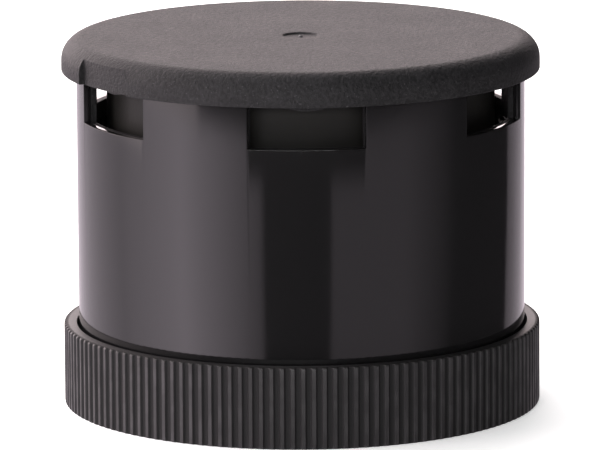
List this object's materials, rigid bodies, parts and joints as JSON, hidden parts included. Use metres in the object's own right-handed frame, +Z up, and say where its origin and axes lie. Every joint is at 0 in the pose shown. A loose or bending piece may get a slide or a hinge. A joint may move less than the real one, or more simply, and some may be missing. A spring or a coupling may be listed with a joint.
{
  "type": "signal tower sounder element",
  "caption": "Round sounder element of a signal tower: glossy tube with sound windows, matte cap and a ribbed bayonet ring at the foot.",
  "frame": {"origin": "on the axis, at the underside of the lock ring, which the part stands on", "axes": "+Z up along the tower's axis, -Y towards the middle of the front window"},
  "size_m": [0.07, 0.07, 0.0542],
  "materials": {
    "cap_plastic": "fine spark-eroded texture",
    "housing_plastic": "high gloss",
    "ring_plastic": "fine matte with smooth crests",
    "base_plastic": "moulded satin",
    "connector_plastic": "natural nylon",
    "gasket_rubber": "matte",
    "contact_brass": "plated",
    "screw_steel": "zinc plated",
    "board_laminate": "solder mask",
    "capacitor_sleeve": "shrink sleeve",
    "ferrite": "sintered",
    "copper_wire": "enamelled copper",
    "chip_epoxy": "moulded",
    "chip_metal": "tinned",
    "resistor_ceramic": "glazed",
    "trimmer_plastic": "moulded",
    "rotor_plastic": "moulded",
    "switch_plastic": "moulded",
    "slider_plastic": "moulded",
    "seal_foam": "closed cell foam",
    "basket_steel": "black zinc",
    "plate_steel": "yellow zinc",
    "cone_film": "pressed film",
    "surround_rubber": "satin",
    "horn_plastic": "gloss",
    "screen_mesh": "woven",
    "strip_board": "phenolic",
    "wire_red_pvc": "insulation",
    "wire_black_pvc": "insulation"
  },
  "bodies": {
    "casing": {"top_cap": "cap_plastic", "housing": "housing_plastic", "base_plate": "base_plastic", "tower_gasket": "gasket_rubber", "connector_body": "connector_plastic", "contact_pins": "contact_brass", "base_screws": "screw_steel", "circuit_board": "board_laminate", "board_screws": "screw_steel", "capacitors": "capacitor_sleeve", "step_up_core": "ferrite", "step_up_winding": "copper_wire", "driver_chip": "chip_epoxy", "chip_legs": "chip_metal", "rectifier": "chip_epoxy", "chip_resistors": "resistor_ceramic", "volume_trimmer_body": "trimmer_plastic", "tone_switch_body": "switch_plastic", "driver_seal": "seal_foam", "driver_basket": "basket_steel", "front_plate": "plate_steel", "magnet": "ferrite", "yoke": "plate_steel", "surround": "surround_rubber", "horn_cover": "horn_plastic", "sound_screen": "screen_mesh", "driver_screws": "screw_steel", "terminal_tags": "contact_brass", "tag_strip": "strip_board", "driver_wire_red": "wire_red_pvc", "driver_wire_black": "wire_black_pvc"},
    "lock_ring": {"lock_ring": "ring_plastic"},
    "diaphragm": {"diaphragm": "cone_film", "voice_coil": "copper_wire"},
    "volume_rotor": {"volume_trimmer_rotor": "rotor_plastic"},
    "tone_slider": {"tone_switch_slider": "slider_plastic"}
  },
  "joints": [
    {"name": "lock_ring_turn", "type": "hinge", "parent": "casing", "child": "lock_ring", "pos_m": [0, 0, 0.006], "axis": [0, 0, 1], "range_deg": [0, 30]},
    {"name": "diaphragm_travel", "type": "slide", "parent": "casing", "child": "diaphragm", "axis": [0, 0, 1], "range_m": [-0.0004, 0.0004], "stiffness_N_per_m": 1000},
    {"name": "volume_turn", "type": "hinge", "parent": "casing", "child": "volume_rotor", "pos_m": [-0.012, -0.0175, 0.012], "axis": [0, 0, -1], "range_deg": [-135, 135]},
    {"name": "tone_slide", "type": "slide", "parent": "casing", "child": "tone_slider", "axis": [1, 0, 0], "range_m": [0, 0.002]}
  ]
}
